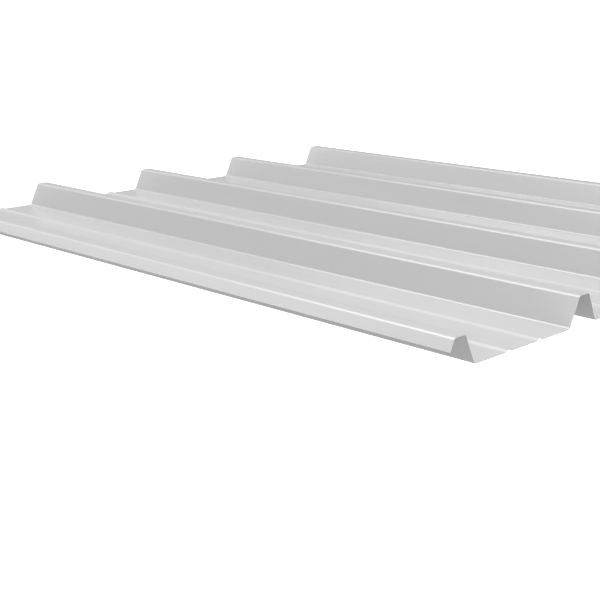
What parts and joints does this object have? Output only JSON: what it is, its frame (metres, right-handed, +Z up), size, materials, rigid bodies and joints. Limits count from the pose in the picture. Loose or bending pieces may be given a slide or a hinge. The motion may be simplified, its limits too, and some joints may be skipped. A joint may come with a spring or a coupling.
{
  "type": "box-profile corrugated metal sheet",
  "caption": "Roll-formed coated steel roofing and cladding sheet with trapezoidal ribs, flat pans stiffened by small beads, and side edges that lap over and under the next sheet.",
  "frame": {"origin": "under the middle of the sheet's overall width and length, on the floor that the pans lie on", "axes": "+X across the ribs towards the overlap edge, +Y along the ribs, +Z up out of the crests"},
  "size_m": [1.0322, 1.2, 0.04],
  "materials": {
    "coated_steel": "satin light grey polyester coating on galvanised steel"
  },
  "bodies": {
    "root": {"profiled_sheet": "coated_steel"}
  },
  "joints": []
}
